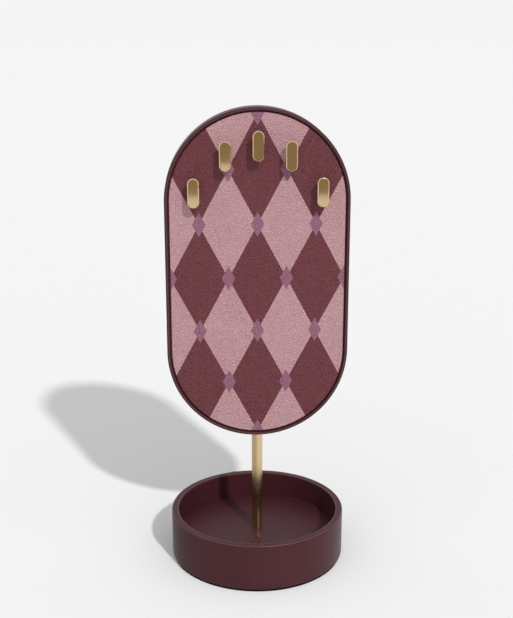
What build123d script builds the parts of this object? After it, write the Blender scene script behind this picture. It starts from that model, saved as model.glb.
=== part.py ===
from build123d import *
import os

# Necklace stand: a round-ended board with brass hooks, held by a brass post in a round dish.
# Millimetres, +Z up. The origin is the centre of the underside, and the board faces -Y.

os.makedirs("parts", exist_ok=True)

# Coverings and clearances
skin = 0.6  # leatherette
glue = 0.05  # glue line between a covering and what it covers
fit = 0.15  # room between pieces that are pushed together
thread_room = 0.05  # radial room between a screw and its tapped hole
hole_room = 0.15  # radial room round a screw or spigot that passes through

# Board
board_width = 113.0
board_height = 207.2
core_thickness = 9.0
card_thickness = 1.4
hoop_thickness = 0.7
panel_recess = 0.5  # how far the face lies below the lip
groove_width = 1.0  # dark line between the face and the lip
lip_outer_round = 0.9
lip_inner_round = 0.6
panel_edge_round = 0.45

# Hooks, placed from the top of the board
cap_width = 7.0
cap_height = 18.2
cap_thickness = 2.0
cap_chamfer = 0.55
stem_diameter = 5.0
stem_root_round = 0.6
hook_gap = 6.0  # between the face and the back of the cap
centre_hook_margin = 13.2  # from the top of the board to the top of the centre cap
inner_hook_drop = 6.0
outer_hook_drop = 27.7
outer_hook_margin = 17.7  # from the side of the board to the middle of the outer cap
outer_hook_spacing = 19.0  # sideways, from the outer cap to the inner one

# Hook screws
screw_diameter = 3.0
screw_head_diameter = 5.6
screw_head_height = 2.0
screw_head_round = 0.5
screw_engagement = 5.0
screw_runout = 0.5  # tapped hole past the end of the screw
screw_washer_diameter = 7.0
screw_washer_thickness = 0.5

# Post
post_diameter = 7.0
post_length = 68.6  # from the dish floor to the board's lower edge
spigot_diameter = 5.0
spigot_chamfer = 0.5
insert_diameter = 6.8
insert_length = 14.0
insert_recess = 0.5
spigot_short = 1.0  # how far the upper spigot stops below the top of its insert

# Dish
dish_diameter = 112.0
dish_height = 31.4
wall_core_thickness = 3.2
rim_round = 0.9
foot_round = 1.0
disc_thickness = 12.0
felt_thickness = 1.5
felt_inset = 1.0

# Weight and post fixing in the base
weight_diameter = 84.0
weight_thickness = 6.0
boss_wall = 3.0  # of the disc, left standing round the nut
nut_across_flats = 8.0
nut_height = 4.0
post_washer_diameter = 10.0
post_washer_thickness = 1.0
spigot_past_nut = 0.6
nut_pocket_room = 0.4  # below the end of the spigot

# Levels of the dish, from the floor up
disc_bottom = felt_thickness
disc_top = disc_bottom + disc_thickness
floor_card_top = disc_top + card_thickness
floor_top = floor_card_top + skin
spigot_bottom = disc_bottom + nut_pocket_room
nut_bottom = spigot_bottom + spigot_past_nut
nut_top = nut_bottom + nut_height
nut_pocket_top = nut_top + post_washer_thickness

# Radii of the dish, from the outside in
dish_radius = dish_diameter / 2
wall_core_outer = dish_radius - skin - glue
wall_core_inner = wall_core_outer - wall_core_thickness
inner_skin_outer = wall_core_inner - glue
inner_skin_inner = inner_skin_outer - skin
floor_radius = inner_skin_inner - fit
nut_pocket_radius = post_washer_diameter / 2 + fit
boss_radius = nut_pocket_radius + boss_wall
spigot_radius = spigot_diameter / 2
spigot_hole = spigot_radius + hole_room

# Insets of the board's layers from its outline
hoop_inset = skin + glue
core_inset = hoop_inset + hoop_thickness + fit
rim_width = hoop_inset + hoop_thickness + glue + skin
panel_inset = rim_width + groove_width

# Depths of the board's layers, counted from its middle towards either face
core_face = core_thickness / 2
card_face = core_face + card_thickness
panel_face = card_face + skin
lip_face = panel_face + panel_recess
cap_back = panel_face + hook_gap

# Heights of the board
board_bottom = floor_top + post_length
board_middle = board_bottom + board_height / 2
board_half_width = board_width / 2
board_half_side = board_height / 2 - board_half_width
insert_bottom = board_bottom + core_inset + insert_recess
insert_top = insert_bottom + insert_length
spigot_top = insert_top - spigot_short

# The board is drawn on planes that face the viewer, with their origin at its centre.
front = Plane(origin=(0, 0, board_middle), x_dir=(1, 0, 0), z_dir=(0, -1, 0))
back = Plane(origin=(0, 0, board_middle), x_dir=(-1, 0, 0), z_dir=(0, 1, 0))

# Cap centres on the front plane, and the stems below them
outer_hook_offset = board_half_width - outer_hook_margin
inner_hook_offset = outer_hook_offset - outer_hook_spacing
centre_cap = board_height / 2 - centre_hook_margin - cap_height / 2
stem_drop = (cap_height - cap_width) / 2
hooks = {
    "hook_left_outer": (-outer_hook_offset, centre_cap - outer_hook_drop),
    "hook_left_inner": (-inner_hook_offset, centre_cap - inner_hook_drop),
    "hook_centre": (0, centre_cap),
    "hook_right_inner": (inner_hook_offset, centre_cap - inner_hook_drop),
    "hook_right_outer": (outer_hook_offset, centre_cap - outer_hook_drop),
}
stems = [(x, y - stem_drop) for x, y in hooks.values()]
stems_from_behind = [(-x, y) for x, y in stems]
screw_radius = screw_diameter / 2
screw_hole = screw_radius + hole_room
screw_seat_depth = screw_head_height + screw_washer_thickness + fit
screw_washer_seat = core_face - screw_seat_depth
screw_head_seat = screw_washer_seat + screw_washer_thickness


def outline(inset, mode=Mode.ADD):
    """Draw the board's round-ended outline, pulled in by inset."""
    SlotOverall(board_height - 2 * inset, board_width - 2 * inset, rotation=90, mode=mode)


def block(x0, x1, y0, y1, mode=Mode.ADD):
    """Draw a rectangle between two corners."""
    with Locations((x0, y0)):
        Rectangle(x1 - x0, y1 - y0, align=(Align.MIN, Align.MIN), mode=mode)


def save(builder, name):
    """Label a finished piece and write it to its own file."""
    builder.part.label = name
    export_step(builder.part, f"parts/{name}.step")


# Fibreboard slab, with the screw holes from behind and the insert's hole in its lower edge
with BuildPart() as board_core:
    with BuildSketch(front.offset(-core_face)):
        outline(core_inset)
    extrude(amount=core_thickness)
    with Locations(back.offset(core_face)):
        with Locations(*stems_from_behind):
            CounterBoreHole(screw_hole, screw_washer_diameter / 2 + fit, screw_seat_depth)
    with BuildSketch(Plane.XY.offset(board_bottom)):
        Circle(insert_diameter / 2 + fit)
    extrude(amount=insert_top - board_bottom, mode=Mode.SUBTRACT)
save(board_core, "board_core")

# Strip bent round the slab, wider than the slab is thick
with BuildPart() as edge_hoop:
    hoop_face = lip_face - skin - glue
    with BuildSketch(front.offset(-hoop_face)):
        outline(hoop_inset)
        outline(hoop_inset + hoop_thickness, mode=Mode.SUBTRACT)
    extrude(amount=2 * hoop_face)
    with BuildSketch(Plane.XY.offset(board_bottom)):
        Circle(spigot_hole)
    extrude(amount=core_inset, mode=Mode.SUBTRACT)
save(edge_hoop, "edge_hoop")

# Leatherette over the strip: one section, carried round the outline. It is turned in over each lip
# and glued out flat on the slab, so that it covers the bottom of the groove up to the panel.
with BuildPart() as edge_wrap:
    with BuildLine(front) as outline_path:
        right_side = Line((board_half_width, 0), (board_half_width, board_half_side))
        top_end = JernArc(right_side @ 1, right_side % 1, board_half_width, 180)
        left_side = Line(top_end @ 1, (-board_half_width, -board_half_side))
        low_end = JernArc(left_side @ 1, left_side % 1, board_half_width, 180)
        Line(low_end @ 1, right_side @ 0)
    with BuildSketch(Plane(origin=(board_half_width, 0, board_middle))) as lip_section:
        block(-rim_width, 0, -lip_face, lip_face)
        fillet(lip_section.vertices().group_by(Axis.X)[-1], lip_outer_round)
        fillet(lip_section.vertices().group_by(Axis.X)[0], lip_inner_round)
        block(skin - rim_width, -skin, skin - lip_face, lip_face - skin, mode=Mode.SUBTRACT)
        block(-rim_width, -skin, -core_face, core_face, mode=Mode.SUBTRACT)
        block(glue - panel_inset, skin - rim_width, core_face, core_face + skin)
        block(glue - panel_inset, skin - rim_width, -core_face - skin, -core_face)
    sweep(path=outline_path.wire())
    with BuildSketch(Plane.XY.offset(board_bottom)):
        Circle(spigot_hole)
    extrude(amount=rim_width, mode=Mode.SUBTRACT)
save(edge_wrap, "edge_wrap")

# Card and leatherette of the two faces. Only the front ones are pierced for the hook screws.
for side, plane, holes in (("front", front, stems), ("back", back, [])):
    with BuildPart() as card:
        with BuildSketch(plane.offset(core_face)):
            outline(panel_inset + skin + glue)
            if holes:
                with Locations(*holes):
                    Circle(screw_hole, mode=Mode.SUBTRACT)
        extrude(amount=card_thickness)
    save(card, f"{side}_card")

    with BuildPart() as leather:
        with BuildSketch(plane.offset(core_face)):
            outline(panel_inset)
        extrude(amount=card_thickness + skin)
        rim_edges = leather.faces().sort_by(Axis.Y)[0 if side == "front" else -1].edges()
        fillet(rim_edges, min(panel_edge_round, skin))
        with BuildSketch(plane.offset(core_face)):
            outline(panel_inset + skin)
        extrude(amount=card_thickness, mode=Mode.SUBTRACT)
        if holes:
            with BuildSketch(plane.offset(card_face)):
                with Locations(*holes):
                    Circle(screw_hole)
            extrude(amount=skin, mode=Mode.SUBTRACT)
    save(leather, f"{side}_leather")

# Cast hooks: a stem stands on the face, and a pill-shaped cap reaches up from the stem's end
for name, (x, y) in hooks.items():
    with BuildPart() as hook:
        with BuildSketch(front.offset(cap_back)):
            with Locations((x, y)):
                SlotOverall(cap_height, cap_width, rotation=90)
        extrude(amount=cap_thickness)
        chamfer(hook.faces().sort_by(Axis.Y)[0].edges(), cap_chamfer)
        with BuildSketch(front.offset(panel_face)):
            with Locations((x, y - stem_drop)):
                Circle(stem_diameter / 2)
        extrude(amount=hook_gap)
        stem_root = hook.edges(Select.LAST).filter_by(GeomType.CIRCLE).sort_by(Axis.Y)[0]
        fillet(stem_root, min(stem_root_round, (cap_width - stem_diameter) / 3))
        with Locations(back.offset(-panel_face)):
            with Locations((-x, y - stem_drop)):
                Hole(screw_radius + thread_room, screw_engagement + screw_runout)
    save(hook, name)

# Hook screws, from the seats in the slab into the stems
with BuildPart() as hook_screws:
    with BuildSketch(back.offset(screw_head_seat)):
        with Locations(*stems_from_behind):
            Circle(screw_head_diameter / 2)
    extrude(amount=screw_head_height)
    fillet(hook_screws.edges().group_by(Axis.Y)[-1], screw_head_round)
    with BuildSketch(back.offset(screw_head_seat)):
        with Locations(*stems_from_behind):
            Circle(screw_radius)
    extrude(amount=-(screw_head_seat + panel_face + screw_engagement))
save(hook_screws, "hook_screws")

# Washers under the screw heads
with BuildPart() as hook_washers:
    with BuildSketch(back.offset(screw_washer_seat)):
        with Locations(*stems_from_behind):
            Circle(screw_washer_diameter / 2)
            Circle(screw_hole, mode=Mode.SUBTRACT)
    extrude(amount=screw_washer_thickness)
save(hook_washers, "hook_washers")

# Brass rod with a turned-down spigot at each end
with BuildPart() as post:
    with BuildSketch(Plane.XY.offset(floor_top)):
        Circle(post_diameter / 2)
    extrude(amount=post_length)
    with BuildSketch(Plane.XY.offset(spigot_bottom)):
        Circle(spigot_radius)
    extrude(amount=spigot_top - spigot_bottom)
    spigot_ends = post.faces().filter_by(Axis.Z).sort_by(Axis.Z)
    chamfer(spigot_ends[0].edges() + spigot_ends[-1].edges(), spigot_chamfer)
save(post, "post")

# Threaded insert in the lower edge of the slab
with BuildPart() as post_insert:
    with BuildSketch(Plane.XY.offset(insert_bottom)):
        Circle(insert_diameter / 2)
        Circle(spigot_radius + thread_room, mode=Mode.SUBTRACT)
    extrude(amount=insert_length)
save(post_insert, "post_insert")

# Stiff ring of the dish wall
with BuildPart() as wall_core:
    with BuildSketch(Plane.XY.offset(felt_thickness + skin + glue)):
        Circle(wall_core_outer)
        Circle(wall_core_inner, mode=Mode.SUBTRACT)
    extrude(amount=dish_height - felt_thickness - 2 * (skin + glue))
save(wall_core, "wall_core")

# Leatherette over the wall: one section with a rounded rim and a turned-under foot, spun round
with BuildPart() as wall_wrap:
    with BuildSketch(Plane.XZ) as wall_section:
        block(inner_skin_inner, dish_radius, felt_thickness, dish_height)
        fillet(wall_section.vertices().group_by(Axis.Y)[-1], rim_round)
        fillet(wall_section.vertices().group_by(Axis.Y)[0].sort_by(Axis.X)[-1], foot_round)
        cavity_bottom = felt_thickness + skin
        cavity_top = dish_height - skin
        block(inner_skin_outer, wall_core_outer + glue, cavity_bottom, cavity_top, mode=Mode.SUBTRACT)
        block(inner_skin_inner, wall_core_inner, felt_thickness, disc_top, mode=Mode.SUBTRACT)
    revolve(axis=Axis.Z)
save(wall_wrap, "wall_wrap")

# Fibreboard disc that closes the wall, let in from below for the weight and the post's nut
with BuildPart() as base_disc:
    with BuildSketch(Plane.XY.offset(disc_bottom)):
        Circle(wall_core_inner - fit)
    extrude(amount=disc_thickness)
    with BuildSketch(Plane.XY.offset(disc_bottom)):
        Circle(weight_diameter / 2 + fit)
        Circle(boss_radius, mode=Mode.SUBTRACT)
    extrude(amount=weight_thickness, mode=Mode.SUBTRACT)
    with Locations(Location((0, 0, disc_bottom), (180, 0, 0))):
        CounterBoreHole(spigot_hole, nut_pocket_radius, nut_pocket_top - disc_bottom)
save(base_disc, "base_disc")

# Steel plate in the underside of the disc
with BuildPart() as weight_plate:
    with BuildSketch(Plane.XY.offset(disc_bottom)):
        Circle(weight_diameter / 2)
        Circle(boss_radius + fit, mode=Mode.SUBTRACT)
    extrude(amount=weight_thickness)
save(weight_plate, "weight_plate")

# Washer and hexagon nut on the lower spigot
with BuildPart() as post_washer:
    with BuildSketch(Plane.XY.offset(nut_top)):
        Circle(post_washer_diameter / 2)
        Circle(spigot_hole, mode=Mode.SUBTRACT)
    extrude(amount=post_washer_thickness)
save(post_washer, "post_washer")

with BuildPart() as post_nut:
    with BuildSketch(Plane.XY.offset(nut_bottom)):
        RegularPolygon(nut_across_flats / 2, 6, major_radius=False)
        Circle(spigot_radius + thread_room, mode=Mode.SUBTRACT)
    extrude(amount=nut_height)
save(post_nut, "post_nut")

# Card and leatherette of the dish floor, with the post's spigot through their middle
with BuildPart() as floor_card:
    with BuildSketch(Plane.XY.offset(disc_top)):
        Circle(floor_radius - skin - glue)
        Circle(spigot_hole, mode=Mode.SUBTRACT)
    extrude(amount=card_thickness)
save(floor_card, "floor_card")

with BuildPart() as floor_leather:
    with BuildSketch(Plane.XY.offset(disc_top)):
        Circle(floor_radius)
    extrude(amount=card_thickness + skin)
    fillet(floor_leather.faces().sort_by(Axis.Z)[-1].edges(), min(panel_edge_round, skin))
    with BuildSketch(Plane.XY.offset(disc_top)):
        Circle(floor_radius - skin)
    extrude(amount=card_thickness, mode=Mode.SUBTRACT)
    with BuildSketch(Plane.XY.offset(floor_card_top)):
        Circle(spigot_hole)
    extrude(amount=skin, mode=Mode.SUBTRACT)
save(floor_leather, "floor_leather")

# Felt pad under the base
with BuildPart() as base_felt:
    with BuildSketch(Plane.XY):
        Circle(dish_radius - felt_inset)
    extrude(amount=felt_thickness)
save(base_felt, "base_felt")
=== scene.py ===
import math

import bmesh
import bpy
import numpy as np
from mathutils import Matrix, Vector


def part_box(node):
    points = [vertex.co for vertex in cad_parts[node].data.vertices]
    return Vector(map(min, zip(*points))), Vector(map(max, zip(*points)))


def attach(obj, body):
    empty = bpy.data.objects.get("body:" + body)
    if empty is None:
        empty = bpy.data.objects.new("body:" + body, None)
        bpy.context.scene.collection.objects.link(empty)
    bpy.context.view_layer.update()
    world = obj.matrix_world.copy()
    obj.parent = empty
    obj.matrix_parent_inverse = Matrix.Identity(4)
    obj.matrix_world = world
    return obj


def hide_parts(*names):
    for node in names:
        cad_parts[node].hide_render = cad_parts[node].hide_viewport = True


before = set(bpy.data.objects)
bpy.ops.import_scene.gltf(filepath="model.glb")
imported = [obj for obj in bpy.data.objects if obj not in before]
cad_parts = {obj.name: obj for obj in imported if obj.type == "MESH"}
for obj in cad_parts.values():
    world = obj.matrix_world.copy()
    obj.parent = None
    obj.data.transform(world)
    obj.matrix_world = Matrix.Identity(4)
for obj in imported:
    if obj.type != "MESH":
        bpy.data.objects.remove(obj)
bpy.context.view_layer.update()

# Ring and disc of the dish: the stiff shapes that its covering is glued to.
# Both are fibreboard, the ring bent round and the disc sawn out, with pressed fibres all through.
# They are out of sight once the dish is covered.
mm = 0.001
fibres_per_metre = 1400.0
fleck_band = (0.35, 0.65)
fibre_dark = (0.22, 0.14, 0.08)
fibre_pale = (0.42, 0.30, 0.18)
fibre_roughness = 0.9
fibre_relief = 0.04 * mm


def new_finish(name):
    """Start a material. Returns it with its node tree, its shader and its Object coordinates."""
    finish = bpy.data.materials.new(name)
    finish.use_nodes = True
    tree = finish.node_tree
    place = tree.nodes.new("ShaderNodeTexCoord").outputs["Object"]
    return finish, tree, tree.nodes["Principled BSDF"], place


def add(tree, kind, inputs, **settings):
    """Add a node with its settings. An input that is a socket is linked, and any other is set."""
    made = tree.nodes.new("ShaderNode" + kind)
    for key, value in settings.items():
        setattr(made, key, value)
    for key, value in inputs.items():
        if isinstance(value, bpy.types.NodeSocket):
            tree.links.new(value, made.inputs[key])
        else:
            made.inputs[key].default_value = value
    return made


def noise(tree, place, per_metre, detail, distortion=0.0):
    """Cloudy noise with about so many clouds to the metre. Returns its Fac and Color."""
    inputs = {"Vector": place, "Scale": per_metre, "Detail": detail, "Distortion": distortion}
    return add(tree, "TexNoise", inputs).outputs


def fade(tree, value, low, high, start=0.0, end=1.0):
    """Value that runs smoothly from start, where the given one is low, to end, where it is high."""
    inputs = {"Value": value, "From Min": low, "From Max": high, "To Min": start, "To Max": end}
    return add(tree, "MapRange", inputs, interpolation_type="SMOOTHSTEP").outputs["Result"]


def mix(tree, mask, first, second):
    """Colour that goes from the first, where the mask is 0, to the second, where it is 1.

    Inputs 6 and 7 of a Mix node are its two colours, and output 2 is the mixed one.
    """
    made = add(tree, "Mix", {0: mask}, data_type="RGBA")
    for socket, colour in ((made.inputs[6], first), (made.inputs[7], second)):
        if isinstance(colour, bpy.types.NodeSocket):
            tree.links.new(colour, socket)
        else:
            socket.default_value = (*colour, 1.0)
    return made.outputs[2]


def bumped(tree, shader, height, depth):
    """Raise the shader's surface by up to depth, in metres, where the height goes from 0 to 1."""
    bump = add(tree, "Bump", {"Height": height, "Distance": depth, "Strength": 1.0})
    tree.links.new(bump.outputs["Normal"], shader.inputs["Normal"])


def cover_node(name, finish):
    """Give a CAD node its finish."""
    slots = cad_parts[name].data.materials
    slots.clear()
    slots.append(finish)


fibreboard, tree, shader, place = new_finish("fibreboard")
fibres = noise(tree, place, fibres_per_metre, detail=5.0, distortion=1.5)["Fac"]
flecks = fade(tree, fibres, *fleck_band)
tree.links.new(mix(tree, flecks, fibre_dark, fibre_pale), shader.inputs["Base Color"])
shader.inputs["Roughness"].default_value = fibre_roughness
bumped(tree, shader, flecks, fibre_relief)
for name in ("base_disc", "wall_core"):
    cover_node(name, fibreboard)

# Weight, washer and nut in the base: the weight keeps the stand from tipping, the nut holds the post.
# Plain steel, the plate cut from rolled sheet and left with the lines of the rolling.
# They are let into the disc from below and hidden by the felt.
line_band = (0.3, 0.7)
rolling_lines = (40.0, 2500.0, 2500.0)
steel_dark = (0.42, 0.42, 0.43)
steel_pale = (0.60, 0.60, 0.61)
steel_roughness = (0.32, 0.48)


def new_group(name, inputs, outputs):
    """Start a shader node group with named sockets. Returns it with its two inner ends."""
    group = bpy.data.node_groups.new(name, "ShaderNodeTree")
    for side, sockets in (("INPUT", inputs), ("OUTPUT", outputs)):
        for socket_name, kind in sockets.items():
            group.interface.new_socket(socket_name, in_out=side, socket_type="NodeSocket" + kind)
    return group, group.nodes.new("NodeGroupInput"), group.nodes.new("NodeGroupOutput")


def vector_calc(tree, operation, first, second):
    """Vector of one operation on two vectors or sockets."""
    return add(tree, "VectorMath", {0: first, 1: second}, operation=operation).outputs[0]


# Drawn lines are noise that is stretched by its own count of lines to the metre along X, Y and Z.
drawn_lines, ends_in, ends_out = new_group(
    "drawn_lines", {"Place": "Vector", "Lines per metre": "Vector"}, {"Lines": "Float"}
)
line_place = ends_in.outputs["Place"]
stretched = vector_calc(drawn_lines, "MULTIPLY", line_place, ends_in.outputs["Lines per metre"])
lines = noise(drawn_lines, stretched, 1.0, detail=3.0)["Fac"]
drawn_lines.links.new(fade(drawn_lines, lines, *line_band), ends_out.inputs["Lines"])


def lines_on(tree, place, per_metre):
    """Put the drawn lines into a material, so many to the metre along X, Y and Z. Returns their mask."""
    inputs = {"Place": place, "Lines per metre": per_metre}
    return add(tree, "Group", inputs, node_tree=drawn_lines).outputs["Lines"]


steel, tree, shader, place = new_finish("steel")
rolling = lines_on(tree, place, rolling_lines)
tree.links.new(mix(tree, rolling, steel_dark, steel_pale), shader.inputs["Base Color"])
tree.links.new(fade(tree, rolling, 0.0, 1.0, *steel_roughness), shader.inputs["Roughness"])
shader.inputs["Metallic"].default_value = 1.0
for name in ("weight_plate", "post_washer", "post_nut"):
    cover_node(name, steel)

# Covering of the dish wall: one strip of burgundy leatherette with a fine pebble grain.
# It is glued up the outside, over the rim, down the inside and under the foot.
# Both edges of the rim are coloured lighter, a painted highlight, and are a little smoother.
# Its ends lap at the back, a little left of the middle, where the top end shows as a small step.
wall_low, wall_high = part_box("wall_wrap")
core_low, core_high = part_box("wall_core")
dish_radius = wall_high.x
foot_level = wall_low.z
rim_level = wall_high.z
skin = 0.6 * mm
wall_thickness = 4.5 * mm
rim_round = 0.9 * mm
foot_round = 1.0 * mm
bore_radius = dish_radius - wall_thickness
lining_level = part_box("floor_leather")[0].z
lap_turn = math.radians(102.5)
lap_height = 0.28 * mm
lap_length = 9.0 * mm
lap_edge = 0.2 * mm
lap_ring_half = 1.0 * mm
# Painted highlight: a band of lighter colour along both edges of the rim, centred on these two spots.
painted_sheen_width = 0.42 * mm
outer_painted_sheen = (dish_radius - 0.3 * rim_round, rim_level - 0.3 * rim_round)
inner_painted_sheen = (bore_radius + 0.6 * rim_round, rim_level - 0.1 * rim_round)

dish_steps = 288
lap_steps = 60
arc_points = 7
flat_margin = 0.15 * mm
merge_distance = 1e-7
sharp_angle = math.radians(32)

grain_wander = 1.1 * mm
crumbs_per_metre = 1700.0
pores_per_metre = 3000.0
blotches_per_metre = 45.0
dome_reach = 0.42
crumb_reach = 0.35
crease_reach = 0.22
crumb_share = 0.15
pore_share = 0.10
blotch_band = (0.3, 0.7)

burgundy_pebbles_per_metre = 900.0
burgundy_dark = (0.055, 0.0135, 0.0178)
burgundy_pale = (0.061, 0.0155, 0.0200)
# Painted shade: the creases of the grain are coloured darker, as if shaded in their hollows.
burgundy_crease_shade = (0.026, 0.005, 0.007)
burgundy_crease_share = 0.35
# Lighter colour of the painted highlight along rounded edges.
burgundy_painted_sheen = (0.120, 0.060, 0.066)
burgundy_roughness = (0.36, 0.50)
painted_sheen_roughness = 0.27
burgundy_relief = 0.03 * mm
burgundy_gloss = 0.17


def rounded_section(corners, rounds, closed=True):
    """Outline whose corners are arcs of their own radii, tangent to both sides.

    An arc's centre lies on its corner's bisector, at radius / sin(half the corner's angle), and its
    points turn evenly from one side to the other. A radius of 0 keeps the corner sharp. A straight
    stretch gets two more points, a little in from its ends, so that it is shaded flat between them.
    """
    corners = np.array(corners, float)
    rounds = np.array(rounds, float)[:, None]
    back = np.roll(corners, 1, axis=0) - corners
    ahead = np.roll(corners, -1, axis=0) - corners
    back /= np.linalg.norm(back, axis=1, keepdims=True)
    ahead /= np.linalg.norm(ahead, axis=1, keepdims=True)
    bisector = back + ahead
    bisector /= np.linalg.norm(bisector, axis=1, keepdims=True)
    half = np.arccos(np.sum(back * bisector, axis=1, keepdims=True))
    centres = corners + bisector * rounds / np.sin(half)
    first = corners + back * rounds / np.tan(half) - centres
    last = corners + ahead * rounds / np.tan(half) - centres
    share = np.linspace(0, 1, arc_points)[None, :, None]
    turn = (np.pi - 2 * half)[:, None]
    arcs = np.sin((1 - share) * turn) * first[:, None] + np.sin(share * turn) * last[:, None]
    points = (centres[:, None] + arcs / np.sin(turn)).reshape(-1, 2)
    stretch = np.roll(points, -1, axis=0) - points
    length = np.linalg.norm(stretch, axis=1)
    is_long = (length > 3 * flat_margin) & (closed | (np.arange(len(points)) < len(points) - 1))
    inset = stretch * (flat_margin / np.maximum(length, flat_margin))[:, None]
    held = np.stack([points, points + inset, points + stretch - inset], axis=1)
    return held[np.stack([np.ones_like(is_long), is_long, is_long], axis=1)]


def painted_sheen_rows(section, spots):
    """How much painted highlight each row of a section carries: 1 on a spot, and smoothly less to 0 at the
    band's width from it.
    """
    away = np.linalg.norm(section[:, None] - np.array(spots), axis=2).min(axis=1)
    near = np.clip(1 - away / painted_sheen_width, 0, 1)
    return near**2 * (3 - 2 * near)


def skin_piece(name, grid, closed_section, painted_sheen=0.0):
    """Mesh a grid of points with a quad between each four neighbours, and keep the painted highlight of
    each row.

    The columns close on themselves. So do the rows of a closed section. Any other section starts and
    ends where its row shrinks to a point or a line, and merging the points there closes the skin.
    """
    rows, columns = grid.shape[:2]
    row = np.arange(rows if closed_section else rows - 1)[:, None]
    column = np.arange(columns)[None, :]
    next_row = (row + 1) % rows
    next_column = (column + 1) % columns
    corners = [(row, column), (row, next_column), (next_row, next_column), (next_row, column)]
    quads = np.stack([r * columns + c for r, c in corners], axis=-1).reshape(-1, 4)
    mesh = bpy.data.meshes.new(name)
    mesh.from_pydata(grid.reshape(-1, 3), [], quads)
    painted_sheen_values = np.repeat(np.broadcast_to(painted_sheen, rows), columns).astype(np.float32)
    mesh.attributes.new("painted_sheen", "FLOAT", "POINT").data.foreach_set("value", painted_sheen_values)
    shape = bmesh.new()
    shape.from_mesh(mesh)
    bmesh.ops.remove_doubles(shape, verts=shape.verts, dist=merge_distance)
    bmesh.ops.recalc_face_normals(shape, faces=shape.faces)
    shape.to_mesh(mesh)
    shape.free()
    mesh.shade_smooth()
    mesh.set_sharp_from_angle(angle=sharp_angle)
    piece = bpy.data.objects.new(name, mesh)
    bpy.context.scene.collection.objects.link(piece)
    return piece


def turned(section, turns):
    """Spin a section about Z: its point (r, z) goes to (r cos t, r sin t, z) at each turn t."""
    radius = section[:, :1]
    level = np.broadcast_to(section[:, 1:], (len(section), len(turns)))
    return np.stack([radius * np.cos(turns), radius * np.sin(turns), level], axis=-1)


def lapped(grid, turns):
    """Lift the top end of the lap off the wall, away from the nearest point of the ring under it.

    The lift falls smoothly from lap_height at the cut edge to nothing after lap_length.
    """
    along = (turns - lap_turn) * dish_radius
    rise = np.clip(along / lap_edge + 1, 0, 1) * (1 - np.clip(along / lap_length, 0, 1)) ** 2
    radius = np.hypot(grid[..., 0], grid[..., 1])
    ring_middle = dish_radius - wall_thickness / 2
    out = radius - np.clip(radius, ring_middle - lap_ring_half, ring_middle + lap_ring_half)
    up = grid[..., 2] - np.clip(grid[..., 2], core_low.z, core_high.z - lap_ring_half)
    lift = lap_height * rise / np.maximum(np.hypot(out, up), skin)
    radial = 1 + lift * out / radius
    return np.stack([grid[..., 0] * radial, grid[..., 1] * radial, grid[..., 2] + lift * up], axis=-1)


def cell_edges(tree, place, per_metre):
    """How far each point lies from the edge of its cell, with about so many cells to the metre."""
    inputs = {"Vector": place, "Scale": per_metre}
    return add(tree, "TexVoronoi", inputs, feature="DISTANCE_TO_EDGE").outputs["Distance"]


def raised(tree, height, finer, share):
    """Height with a share of a finer one added to it."""
    return add(tree, "Math", {0: finer, 1: share, 2: height}, operation="MULTIPLY_ADD").outputs[0]


# Leather grain is a field of domed cells with wandering edges, roughened by smaller crumbs and pores.
# Its crease is 1 along the edges of the cells, and its tone changes softly in large blotches.
leather_grain, ends_in, ends_out = new_group(
    "leather_grain",
    {"Place": "Vector", "Pebbles per metre": "Float"},
    {"Height": "Float", "Crease": "Float", "Tone": "Float"},
)
grain_place = ends_in.outputs["Place"]
pebbles = ends_in.outputs["Pebbles per metre"]
wander = noise(leather_grain, grain_place, pebbles, detail=2.0)["Color"]
shift = vector_calc(leather_grain, "MULTIPLY", wander, (grain_wander,) * 3)
grain_bent = vector_calc(leather_grain, "ADD", grain_place, shift)
cells = cell_edges(leather_grain, grain_bent, pebbles)
crumbs = cell_edges(leather_grain, grain_bent, crumbs_per_metre)
pores = noise(leather_grain, grain_bent, pores_per_metre, detail=2.0)["Fac"]
blotches = noise(leather_grain, grain_place, blotches_per_metre, detail=3.0)["Fac"]
dome = fade(leather_grain, cells, 0.0, dome_reach)
crumb = fade(leather_grain, crumbs, 0.0, crumb_reach)
crease = fade(leather_grain, cells, crease_reach, 0.0)
tone = fade(leather_grain, blotches, *blotch_band)
height = raised(leather_grain, dome, crumb, crumb_share)
height = raised(leather_grain, height, pores, pore_share)
leather_grain.links.new(height, ends_out.inputs["Height"])
leather_grain.links.new(crease, ends_out.inputs["Crease"])
leather_grain.links.new(tone, ends_out.inputs["Tone"])


def grain_on(tree, place, pebbles_per_metre):
    """Put the leather grain into a material. Returns its Height, Crease and Tone."""
    inputs = {"Place": place, "Pebbles per metre": pebbles_per_metre}
    return add(tree, "Group", inputs, node_tree=leather_grain).outputs


burgundy_leatherette, tree, shader, place = new_finish("burgundy_leatherette")
grain = grain_on(tree, place, burgundy_pebbles_per_metre)
# The grain's creases are coloured darker: painted shade in their hollows.
creased = fade(tree, grain["Crease"], 0.0, 1.0, 0.0, burgundy_crease_share)
# Rows marked along rounded edges get a lighter colour, a painted highlight, and less roughness.
painted_sheen_mask = add(tree, "Attribute", {}, attribute_name="painted_sheen").outputs["Fac"]
burgundy = mix(tree, grain["Tone"], burgundy_dark, burgundy_pale)
burgundy = mix(tree, creased, burgundy, burgundy_crease_shade)
burgundy = mix(tree, painted_sheen_mask, burgundy, burgundy_painted_sheen)
tree.links.new(burgundy, shader.inputs["Base Color"])
roughness = fade(tree, grain["Crease"], 0.0, 1.0, *burgundy_roughness)
tree.links.new(fade(tree, painted_sheen_mask, 0.0, 1.0, roughness, painted_sheen_roughness), shader.inputs["Roughness"])
bumped(tree, shader, grain["Height"], burgundy_relief)
shader.inputs["Specular IOR Level"].default_value = burgundy_gloss

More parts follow.
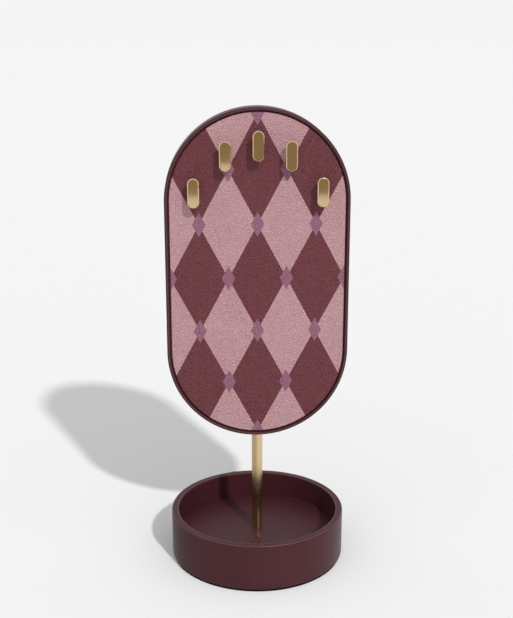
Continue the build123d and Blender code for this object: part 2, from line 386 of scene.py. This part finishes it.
wall_section = rounded_section(
    [
        (bore_radius + skin, foot_level),
        (dish_radius, foot_level),
        (dish_radius, rim_level),
        (bore_radius, rim_level),
        (bore_radius, lining_level),
        (bore_radius + skin, lining_level),
        (bore_radius + skin, rim_level - skin),
        (dish_radius - skin, rim_level - skin),
        (dish_radius - skin, foot_level + skin),
        (bore_radius + skin, foot_level + skin),
    ],
    [0, foot_round, rim_round, rim_round, 0, 0, 0, 0, 0, 0],
)
dish_turns = np.linspace(0, 2 * np.pi, dish_steps, endpoint=False)
lap_turns = lap_turn + np.linspace(-lap_edge, lap_length, lap_steps) / dish_radius
wall_turns = np.union1d(dish_turns, lap_turns)
wall_painted_sheen = painted_sheen_rows(wall_section, [outer_painted_sheen, inner_painted_sheen])
dish_wall = skin_piece("dish_wall", lapped(turned(wall_section, wall_turns), wall_turns), True, wall_painted_sheen)
dish_wall.data.materials.append(burgundy_leatherette)
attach(dish_wall, "root")
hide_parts("wall_wrap")

# Floor of the dish: a card disc covered in the same leatherette, its edge turned down round the card.
# It drops in on top of the fibreboard disc and meets the wall in a thin dark line.
# The post's spigot goes through the hole in its middle.
floor_low, floor_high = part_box("floor_leather")
floor_card_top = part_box("floor_card")[1].z
floor_edge_round = 0.45 * mm
spigot_hole = 2.65 * mm
pulp_per_metre = 2200.0
pulp_band = (0.38, 0.62)
pulp_dark = (0.24, 0.22, 0.20)
pulp_pale = (0.34, 0.32, 0.29)
pulp_roughness = 0.95
pulp_relief = 0.02 * mm

floor_section = rounded_section(
    [
        (spigot_hole, floor_card_top),
        (floor_high.x - skin, floor_card_top),
        (floor_high.x - skin, floor_low.z),
        (floor_high.x, floor_low.z),
        (floor_high.x, floor_high.z),
        (spigot_hole, floor_high.z),
    ],
    [0, 0, 0, 0, floor_edge_round, 0],
)
dish_floor = skin_piece("dish_floor", turned(floor_section, dish_turns), True)
dish_floor.data.materials.append(burgundy_leatherette)
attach(dish_floor, "root")
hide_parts("floor_leather")

grey_card, tree, shader, place = new_finish("grey_card")
pulp = noise(tree, place, pulp_per_metre, detail=4.0)["Fac"]
specks = fade(tree, pulp, *pulp_band)
tree.links.new(mix(tree, specks, pulp_dark, pulp_pale), shader.inputs["Base Color"])
shader.inputs["Roughness"].default_value = pulp_roughness
bumped(tree, shader, specks, pulp_relief)
cover_node("floor_card", grey_card)

# Pad under the base: a disc of dark wool felt glued to the fibreboard and set in from the foot.
# Its cut edge lifts the dish by a millimetre and a half, and shows as a dark line along the table.
# Its colour is set nearly black, so that the edge also stands in for the shade in the gap under the foot:
# partly painted shade.
wool_per_metre = 3200.0
fuzz_band = (0.3, 0.7)
felt_dark = (0.006, 0.004, 0.0045)
felt_pale = (0.016, 0.010, 0.011)
felt_roughness = 1.0
felt_gloss = 0.05
felt_relief = 0.08 * mm

felt, tree, shader, place = new_finish("felt")
wool = noise(tree, place, wool_per_metre, detail=5.0, distortion=2.0)["Fac"]
fuzz = fade(tree, wool, *fuzz_band)
tree.links.new(mix(tree, fuzz, felt_dark, felt_pale), shader.inputs["Base Color"])
shader.inputs["Roughness"].default_value = felt_roughness
shader.inputs["Specular IOR Level"].default_value = felt_gloss
bumped(tree, shader, fuzz, felt_relief)
cover_node("base_felt", felt)

# Post: a drawn brass rod, finely brushed along its length and clear-lacquered.
# Each end is turned down to a threaded spigot, so its shoulders seat on the dish and the board.
# The threaded insert that takes its upper spigot is brass too, and lies inside the board.
post_low, post_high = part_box("post")
post_radius = post_high.x
post_foot = floor_high.z
post_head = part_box("edge_wrap")[0].z
spigot_radius = 2.5 * mm
spigot_chamfer = 0.5 * mm
shoulder_round = 0.2 * mm
post_steps = 96
brushing_lines = (3200.0, 3200.0, 35.0)
brass_dark = (0.70, 0.525, 0.30)
brass_pale = (0.76, 0.575, 0.34)
brass_roughness = (0.21, 0.24)

satin_brass, tree, shader, place = new_finish("satin_brass")
brushing = lines_on(tree, place, brushing_lines)
tree.links.new(mix(tree, brushing, brass_dark, brass_pale), shader.inputs["Base Color"])
tree.links.new(fade(tree, brushing, 0.0, 1.0, *brass_roughness), shader.inputs["Roughness"])
shader.inputs["Metallic"].default_value = 1.0

post_section = rounded_section(
    [
        (0, post_low.z),
        (spigot_radius - spigot_chamfer, post_low.z),
        (spigot_radius, post_low.z + spigot_chamfer),
        (spigot_radius, post_foot),
        (post_radius, post_foot),
        (post_radius, post_head),
        (spigot_radius, post_head),
        (spigot_radius, post_high.z - spigot_chamfer),
        (spigot_radius - spigot_chamfer, post_high.z),
        (0, post_high.z),
    ],
    [0, 0, 0, 0, shoulder_round, shoulder_round, 0, 0, 0, 0],
    closed=False,
)
post_turns = np.linspace(0, 2 * np.pi, post_steps, endpoint=False)
brass_post = skin_piece("brass_post", turned(post_section, post_turns), False)
brass_post.data.materials.append(satin_brass)
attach(brass_post, "root")
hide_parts("post")
cover_node("post_insert", satin_brass)

# Inside of the board: a fibreboard slab with a stiff strip bent round it and card on both faces.
# The strip is pressed fibre and stands proud of the slab, which makes the lips of the edge.
# All of it is glued up before the coverings go on.
strip_lines = (700.0, 6000.0, 700.0)
strip_dark = (0.15, 0.13, 0.11)
strip_pale = (0.24, 0.22, 0.19)
strip_roughness = 0.8
strip_relief = 0.02 * mm

cover_node("board_core", fibreboard)
cover_node("front_card", grey_card)
cover_node("back_card", grey_card)
pressed_strip, tree, shader, place = new_finish("pressed_strip")
layers = lines_on(tree, place, strip_lines)
tree.links.new(mix(tree, layers, strip_dark, strip_pale), shader.inputs["Base Color"])
shader.inputs["Roughness"].default_value = strip_roughness
bumped(tree, shader, layers, strip_relief)
cover_node("edge_hoop", pressed_strip)

# Covering of the board's edge: a long strip of burgundy leatherette drawn round the outline.
# It is turned in over the lip on each face and glued down in the groove beside the panel.
# The crest of each lip carries a little of the painted highlight, as the rim of the dish does.
board_low, board_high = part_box("edge_wrap")
slab_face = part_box("board_core")[1].y
board_half_width = board_high.x
board_middle = (board_low.z + board_high.z) / 2
board_half_side = (board_high.z - board_low.z) / 2 - board_half_width
board_arc_steps = 96
board_side_steps = 24
lip_face = board_high.y
rim_width = 2.0 * mm
groove_width = 1.0 * mm
lip_outer_round = 0.9 * mm
lip_inner_round = 0.6 * mm
lip_crest = (lip_outer_round + rim_width - lip_inner_round) / 2
# Share of the painted highlight on the crest of each lip.
lip_painted_sheen_share = 0.7
panel_inset = rim_width + groove_width
flange_gap = 0.05 * mm


def outline_columns(half_side, arc_steps, side_steps):
    """Turn and lift of each column round a round-ended outline, from the foot of its right side.

    A side keeps its turn, 0 or pi, while its lift runs between the ends. An end keeps its lift while
    its turn runs through half a circle.
    """
    climb = np.linspace(-half_side, half_side, side_steps, endpoint=False)
    swing = np.linspace(0, np.pi, arc_steps, endpoint=False)
    turns = np.concatenate([0 * climb, swing, 0 * climb + np.pi, swing + np.pi])
    lifts = np.concatenate([climb, 0 * swing + half_side, -climb, 0 * swing - half_side])
    return turns, lifts


def round_ended(section, half_width, columns):
    """Carry a section of insets and depths round an outline in the XZ plane.

    A point goes to x = (half_width - inset) cos turn, z = lift + (half_width - inset) sin turn, and
    y is its depth.
    """
    turns, lifts = columns
    radius = half_width - section[:, :1]
    depth = np.broadcast_to(section[:, 1:], (len(section), len(turns)))
    return np.stack([radius * np.cos(turns), depth, lifts + radius * np.sin(turns)], axis=-1)


edge_section = rounded_section(
    [
        (0, -lip_face),
        (rim_width, -lip_face),
        (rim_width, -slab_face - skin),
        (panel_inset - flange_gap, -slab_face - skin),
        (panel_inset - flange_gap, -slab_face),
        (rim_width - skin, -slab_face),
        (rim_width - skin, skin - lip_face),
        (skin, skin - lip_face),
        (skin, lip_face - skin),
        (rim_width - skin, lip_face - skin),
        (rim_width - skin, slab_face),
        (panel_inset - flange_gap, slab_face),
        (panel_inset - flange_gap, slab_face + skin),
        (rim_width, slab_face + skin),
        (rim_width, lip_face),
        (0, lip_face),
    ],
    [lip_outer_round, lip_inner_round] + [0] * 12 + [lip_inner_round, lip_outer_round],
)
board_columns = outline_columns(board_half_side, board_arc_steps, board_side_steps)
at_board = np.array([0, 0, board_middle])
lip_painted_sheen = lip_painted_sheen_share * painted_sheen_rows(edge_section, [(lip_crest, -lip_face), (lip_crest, lip_face)])
edge_grid = round_ended(edge_section, board_half_width, board_columns) + at_board
board_edge = skin_piece("board_edge", edge_grid, True, lip_painted_sheen)
board_edge.data.materials.append(burgundy_leatherette)
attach(board_edge, "root")
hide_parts("edge_wrap")

# Front panel: printed leatherette glued over card, its edge turned down into the groove.
# The print is a harlequin check of tall pink and plum lozenges with a small mauve one at each crossing.
# The pebble grain is pressed through the print, and its creases are coloured darker: painted shade in their
# hollows.
front_low, front_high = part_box("front_leather")
panel_face = -front_low.y
panel_edge_round = 0.45 * mm
lozenges_across = 3
lozenges_high = 3
lozenge_width = (front_high.x - front_low.x) / lozenges_across
lozenge_height = (front_high.z - front_low.z) / lozenges_high
crossing_share = 0.115
crossing_blur = 0.003
pink = (0.510, 0.289, 0.310)
plum = (0.140, 0.031, 0.040)
mauve = (0.284, 0.119, 0.182)
ink_wander = 0.25 * mm
ink_waves_per_metre = 900.0
panel_pebbles_per_metre = 850.0
panel_pebble_stretch = (0.65, 1.0, 1.0)
panel_tone_share = 0.06
# Painted shade: the darker colour laid in the creases of the grain.
panel_crease_shade = (0.045, 0.014, 0.018)
panel_crease_share = 0.24
panel_roughness = (0.42, 0.58)
panel_relief = 0.46 * mm
panel_gloss = 0.3


def panel_section(side):
    """Section of a panel's covering, from its inner middle over the turned edge to its outer middle.

    Side is -1 for the front and 1 for the back.
    """
    corners = [
        (board_half_width, side * (panel_face - skin)),
        (panel_inset + skin, side * (panel_face - skin)),
        (panel_inset + skin, side * slab_face),
        (panel_inset, side * slab_face),
        (panel_inset, side * panel_face),
        (board_half_width, side * panel_face),
    ]
    return rounded_section(corners, [0, 0, 0, 0, panel_edge_round, 0], closed=False)


def panel_grid(side):
    """Points of a panel's covering: its section carried round the board's outline."""
    return round_ended(panel_section(side), board_half_width, board_columns) + at_board


def calc(tree, operation, first, second=0.0):
    """Value of one operation on two numbers or sockets."""
    return add(tree, "Math", {0: first, 1: second}, operation=operation).outputs[0]


def off_half(tree, value):
    """How far the fraction of a value lies from a half."""
    return calc(tree, "ABSOLUTE", calc(tree, "SUBTRACT", calc(tree, "FRACT", value), 0.5))


printed_leatherette, tree, shader, place = new_finish("printed_leatherette")
drawn_out = vector_calc(tree, "MULTIPLY", place, panel_pebble_stretch)
grain = grain_on(tree, drawn_out, panel_pebbles_per_metre)
waves = noise(tree, place, ink_waves_per_metre, detail=1.0)["Color"]
bleed = vector_calc(tree, "MULTIPLY", waves, (ink_wander,) * 3)
inked = add(tree, "SeparateXYZ", {"Vector": vector_calc(tree, "ADD", place, bleed)}).outputs
# Rising and falling count lozenges along the two slants. A lozenge is pink where its two whole counts add
# up to an odd number, and a small mauve one lies where both counts are near a half.
across = calc(tree, "DIVIDE", inked["X"], lozenge_width)
upward = calc(tree, "DIVIDE", calc(tree, "SUBTRACT", inked["Z"], board_middle), lozenge_height)
rising = calc(tree, "ADD", across, upward)
falling = calc(tree, "SUBTRACT", across, upward)
check = calc(tree, "ADD", calc(tree, "ROUND", rising), calc(tree, "ROUND", falling))
is_pink = calc(tree, "FLOORED_MODULO", check, 2.0)
off_crossing = calc(tree, "MAXIMUM", off_half(tree, rising), off_half(tree, falling))
at_crossing = fade(tree, off_crossing, crossing_share + crossing_blur, crossing_share - crossing_blur)
toned = fade(tree, grain["Tone"], 0.0, 1.0, 0.0, panel_tone_share)
creased = fade(tree, grain["Crease"], 0.0, 1.0, 0.0, panel_crease_share)
ink = mix(tree, is_pink, plum, pink)
ink = mix(tree, at_crossing, ink, mauve)
ink = mix(tree, toned, ink, plum)
ink = mix(tree, creased, ink, panel_crease_shade)
tree.links.new(ink, shader.inputs["Base Color"])
tree.links.new(fade(tree, grain["Crease"], 0.0, 1.0, *panel_roughness), shader.inputs["Roughness"])
bumped(tree, shader, grain["Height"], panel_relief)
shader.inputs["Specular IOR Level"].default_value = panel_gloss

front_panel = skin_piece("front_panel", panel_grid(-1), False)
front_panel.data.materials.append(printed_leatherette)
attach(front_panel, "root")
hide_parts("front_leather")

# Back panel: the same covering in plain burgundy leatherette, glued over its own card.
# It goes on last of the two and hides the heads of the hook screws.
back_panel = skin_piece("back_panel", panel_grid(1), False)
back_panel.data.materials.append(burgundy_leatherette)
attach(back_panel, "root")
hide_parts("back_leather")

# Hooks: five satin brass castings, each a pill-shaped cap that reaches up from a short round stem.
# The cap's front edge is chamfered, and the stem is blind-tapped for a screw from behind the slab.
# The screws and their washers are steel and stay inside the board.
cap_chamfer = 0.55 * mm
cap_thickness = 2.0 * mm
cap_edge_round = 0.14 * mm
cap_arc_steps = 28
cap_side_steps = 14
stem_radius = 2.5 * mm
stem_root_round = 0.6 * mm
tapped_radius = 1.55 * mm
tapped_depth = 5.5 * mm
polishing_lines = (2600.0, 2600.0, 120.0)
hook_dark = (0.655, 0.485, 0.290)
hook_pale = (0.685, 0.515, 0.315)
hook_roughness = (0.045, 0.058)


def hook_skin(cap_low, cap_high):
    """Skin of one hook, from the middle of its cap's face to the end of its tapped hole.

    The cap's rows go round its pill outline. Those in the middle of its back are left out, so the last
    lies just inside the edge there. From it the skin turns in to the stem: each column keeps its
    direction as seen from the stem's middle, so the rows there are circles.
    """
    half_width = (cap_high.x - cap_low.x) / 2
    half_side = (cap_high.z - cap_low.z) / 2 - half_width
    cap_face = cap_low.y
    cap_back = cap_face + cap_thickness
    columns = outline_columns(half_side, cap_arc_steps, cap_side_steps)
    rows_in_back = arc_points + 1
    cap_section = rounded_section(
        [
            (half_width, cap_face),
            (cap_chamfer, cap_face),
            (0, cap_face + cap_chamfer),
            (0, cap_back),
            (half_width, cap_back),
        ],
        [0, cap_edge_round, cap_edge_round, cap_edge_round, 0],
        closed=False,
    )[:-rows_in_back]
    cap = round_ended(cap_section, half_width, columns)
    stem_section = rounded_section(
        [
            (stem_radius + stem_root_round, cap_back),
            (stem_radius, cap_back),
            (stem_radius, -panel_face),
            (tapped_radius, -panel_face),
            (tapped_radius, -panel_face - tapped_depth),
            (0, -panel_face - tapped_depth),
        ],
        [0, stem_root_round, 0, 0, 0, 0],
        closed=False,
    )
    outline = cap[-1]
    direction = np.arctan2(outline[:, 2] + half_side, outline[:, 0])
    radius = stem_section[:, :1]
    depth = np.broadcast_to(stem_section[:, 1:], (len(stem_section), len(direction)))
    stem = np.stack([radius * np.cos(direction), depth, radius * np.sin(direction) - half_side], axis=-1)
    middle = np.array([(cap_low.x + cap_high.x) / 2, 0, (cap_low.z + cap_high.z) / 2])
    return np.concatenate([cap, stem]) + middle


hook_brass, tree, shader, place = new_finish("hook_brass")
polishing = lines_on(tree, place, polishing_lines)
tree.links.new(mix(tree, polishing, hook_dark, hook_pale), shader.inputs["Base Color"])
tree.links.new(fade(tree, polishing, 0.0, 1.0, *hook_roughness), shader.inputs["Roughness"])
shader.inputs["Metallic"].default_value = 1.0

for name in ("left_outer", "left_inner", "centre", "right_inner", "right_outer"):
    hook = skin_piece(f"brass_hook_{name}", hook_skin(*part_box(f"hook_{name}")), False)
    hook.data.materials.append(hook_brass)
    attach(hook, "root")
    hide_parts(f"hook_{name}")
cover_node("hook_screws", steel)
cover_node("hook_washers", steel)

# Studio: a plain white table that runs to the horizon, in a white surround that lights most from the front.
# Only reflections show the other three sheets. They glow and light nothing, so all three are painted
# reflections:
# a warm dark screen behind the camera, a low white card at its foot, and a mat on the table that glows
# white and turns grey to the left of the stand, where its grey is a painted reflection of the stand's
# shadow.
table_half_size = 12.0
table_white = 0.913
white = (table_white,) * 3
black = (0.0, 0.0, 0.0)
surround_light = 0.62
front_share = 0.45
screen_distance = 1.45
screen_half_width = 1.5
screen_height = 1.2
# Glow of the screen: a painted reflection of a dark room in front of the stand.
screen_tone = (0.325, 0.273, 0.176)
card_side = -0.002
card_width = 0.044
card_height = 0.066
card_gap = 0.01
mat_left, mat_right = -0.5, 0.08
mat_half_depth = 0.35
mat_level = 0.002
# Grey glow of the mat: a painted reflection of the stand's shadow on the table.
mat_shadow_grey = (0.55,) * 3
mat_fade = (-0.11, 0.07)


def studio_sheet(name, corner, along, across, matt_colour, glow=black):
    """One flat quad of the studio, spanned by two sides from a corner, matt or with a glow of its own."""
    corner, along, across = (np.array(side, float) for side in (corner, along, across))
    mesh = bpy.data.meshes.new(name)
    mesh.from_pydata([corner, corner + along, corner + along + across, corner + across], [], [(0, 1, 2, 3)])
    matt = bpy.data.materials.new(name)
    matt.use_nodes = True
    sockets = matt.node_tree.nodes["Principled BSDF"].inputs
    sockets["Base Color"].default_value = (*matt_colour, 1.0)
    sockets["Roughness"].default_value = 1.0
    sockets["Specular IOR Level"].default_value = 0.0
    sockets["Emission Color"].default_value = (*glow, 1.0)
    sockets["Emission Strength"].default_value = 1.0
    mesh.materials.append(matt)
    sheet = bpy.data.objects.new(name, mesh)
    bpy.context.scene.collection.objects.link(sheet)
    return sheet


table_corner = (-table_half_size, -table_half_size, 0)
studio_sheet("table", table_corner, (2 * table_half_size, 0, 0), (0, 2 * table_half_size, 0), white)
screen = studio_sheet(
    "screen",
    (screen_half_width, -screen_distance, 0.0),
    (-2 * screen_half_width, 0, 0),
    (0, 0, screen_height),
    black,
    screen_tone,
)
low_card = studio_sheet(
    "card",
    (card_side + card_width, -screen_distance + card_gap, 0.0),
    (-card_width, 0, 0),
    (0, 0, card_height),
    black,
    white,
)
mat = studio_sheet(
    "mat",
    (mat_left, -mat_half_depth, mat_level),
    (mat_right - mat_left, 0, 0),
    (0, 2 * mat_half_depth, 0),
    black,
)
tree = mat.data.materials[0].node_tree
mat_place = add(tree, "TexCoord", {}).outputs["Object"]
sideways = add(tree, "SeparateXYZ", {"Vector": mat_place}).outputs["X"]
mat_glow = mix(tree, fade(tree, sideways, *mat_fade), mat_shadow_grey, white)
tree.links.new(mat_glow, tree.nodes["Principled BSDF"].inputs["Emission Color"])
for sheet in (screen, low_card, mat):
    sheet.visible_camera = False
    sheet.visible_diffuse = False
    sheet.visible_transmission = False
    sheet.visible_shadow = False

# The camera and reflections see the surround as white as the table. Its light on matt things is softer.
surround = bpy.data.worlds.new("surround")
bpy.context.scene.world = surround
surround.use_nodes = True
tree = surround.node_tree
light_path = add(tree, "LightPath", {}).outputs
seen = calc(tree, "MAXIMUM", light_path["Is Camera Ray"], light_path["Is Glossy Ray"])
seen = calc(tree, "MAXIMUM", seen, light_path["Is Transmission Ray"])
toward = add(tree, "SeparateXYZ", {"Vector": add(tree, "TexCoord", {}).outputs["Generated"]}).outputs
from_front = calc(tree, "MULTIPLY", toward["Y"], -front_share * surround_light)
strength = fade(tree, seen, 0.0, 1.0, calc(tree, "ADD", from_front, surround_light), table_white)
tree.nodes["Background"].inputs["Color"].default_value = (1.0, 1.0, 1.0, 1.0)
tree.links.new(strength, tree.nodes["Background"].inputs["Strength"])

# Key light: one soft lamp in front of the stand, above it and to its right.
# It throws the long shadow back to the left.
key_energy = 1.92
key_spread = math.radians(2.6)
key_distance = 2.0
to_key = Vector((0.503, -1.132, 1.0)).normalized()

key = bpy.data.objects.new("key", bpy.data.lights.new("key", "SUN"))
key.data.energy = key_energy
key.data.angle = key_spread
key.location = key_distance * to_key
key.rotation_mode = "QUATERNION"
key.rotation_quaternion = to_key.to_track_quat("Z", "Y")
bpy.context.scene.collection.objects.link(key)

# Camera: a little above the stand and to its left, looking slightly down. Its tilt is from straight down.
# The sensor's size spans the taller side of the picture, so the lens follows from the picture's height.
image_height = 618
focal_pixels = 1049.0
sensor_size = 36.0
nearest_seen = 0.01
camera_place = (-0.0366, -0.6317, 0.3428)
camera_tilt = math.radians(74.39)
camera_turn = math.radians(-3.28)

camera = bpy.data.objects.new("camera", bpy.data.cameras.new("camera"))
camera.data.sensor_width = sensor_size
camera.data.lens = focal_pixels * sensor_size / image_height
camera.data.clip_start = nearest_seen
camera.location = camera_place
camera.rotation_euler = (camera_tilt, 0.0, camera_turn)
bpy.context.scene.collection.objects.link(camera)
bpy.context.scene.camera = camera
bpy.context.scene.view_settings.view_transform = "Standard"
